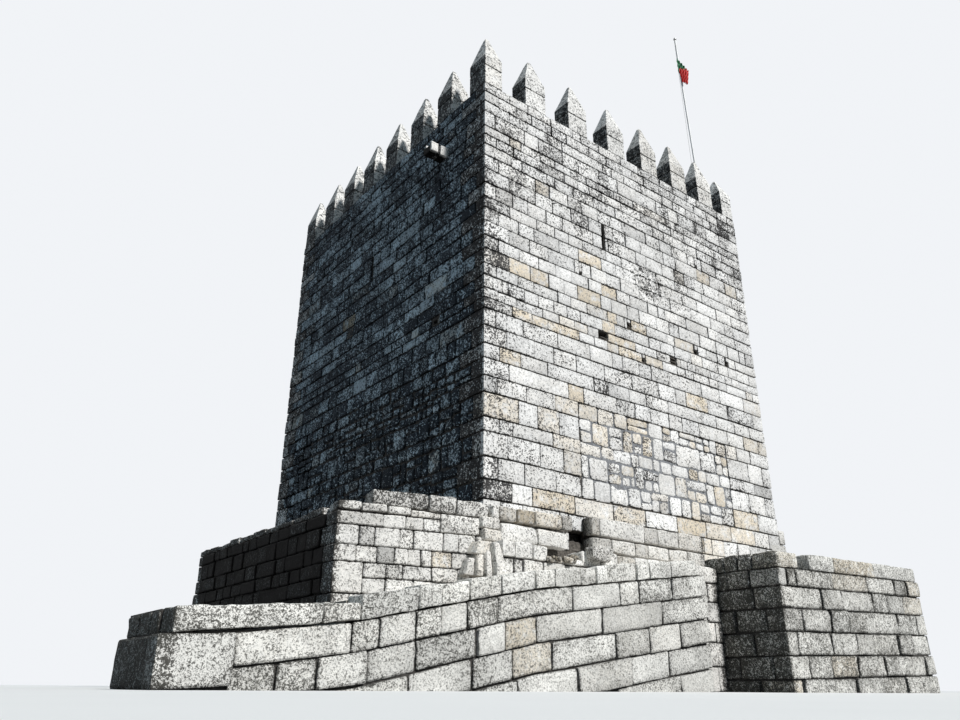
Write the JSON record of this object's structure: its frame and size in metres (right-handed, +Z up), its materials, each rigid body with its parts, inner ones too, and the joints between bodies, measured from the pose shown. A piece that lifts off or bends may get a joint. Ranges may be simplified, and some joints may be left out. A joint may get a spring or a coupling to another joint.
{
  "type": "castle keep",
  "caption": "Square hollow stone keep with pointed merlons, arrow slits, a raised rear doorway, roof terrace, flagpole and the stepped masonry at its foot.",
  "frame": {"origin": "centre of the square tower's plan, on the level plane where the lowest stone starts", "axes": "+Z up, -Y out of the sunny front wall, -X out of the shaded wall, +Y out of the rear wall with the doorway"},
  "size_m": [18.67, 12.37, 21.2782],
  "materials": {
    "ashlar": "rough-faced grey granite ashlar with dark lichen, open joints and a few ochre stones",
    "dressed_stone": "weathered dressed granite, lichen-speckled",
    "rubble": "rubble granite in earth mortar",
    "footing_stone": "large worn granite blocks with open joints",
    "kerb_stone": "long worn granite blocks, lichen-spotted",
    "paving": "worn granite flags",
    "timber": "old sawn chestnut, unpainted",
    "painted_pole": "weathered white gloss paint",
    "bare_steel": "galvanised",
    "rope": "thin white braided line",
    "flag_cloth": "light woven bunting in two plain bands, green and red"
  },
  "bodies": {
    "root": {"front_wall": "ashlar", "left_wall": "ashlar", "right_wall": "ashlar", "rear_wall_under_door": "ashlar", "rear_wall_beside_door": "ashlar", "rear_wall_over_door": "ashlar", "doorway_arch": "dressed_stone", "door_sill": "dressed_stone", "foundation": "rubble", "floor_beams": "timber", "door_floor_boards": "timber", "slit_floor_boards": "timber", "roof_beams": "timber", "roof_slab": "paving", "front_parapet": "ashlar", "rear_parapet": "ashlar", "left_parapet": "ashlar", "right_parapet": "ashlar", "front_merlons": "dressed_stone", "rear_merlons": "dressed_stone", "left_merlons": "dressed_stone", "right_merlons": "dressed_stone", "corner_merlons": "dressed_stone", "merlon_caps": "dressed_stone", "water_spout": "dressed_stone", "front_footing_lower": "footing_stone", "front_footing_upper": "footing_stone", "side_footing": "footing_stone", "terrace_front_wall": "footing_stone", "terrace_side_wall": "footing_stone", "terrace_fill": "rubble", "terrace_top_stones": "footing_stone", "kerb_lower_course": "kerb_stone", "kerb_upper_course": "kerb_stone", "kerb_return": "kerb_stone", "kerb_backing": "rubble", "platform_lower_course": "kerb_stone", "platform_upper_course": "kerb_stone", "platform_fill": "rubble", "flagpole": "painted_pole", "pole_base": "dressed_stone", "pole_head": "bare_steel", "halyard": "rope", "halyard_eye": "bare_steel", "flag": "flag_cloth"}
  },
  "joints": []
}
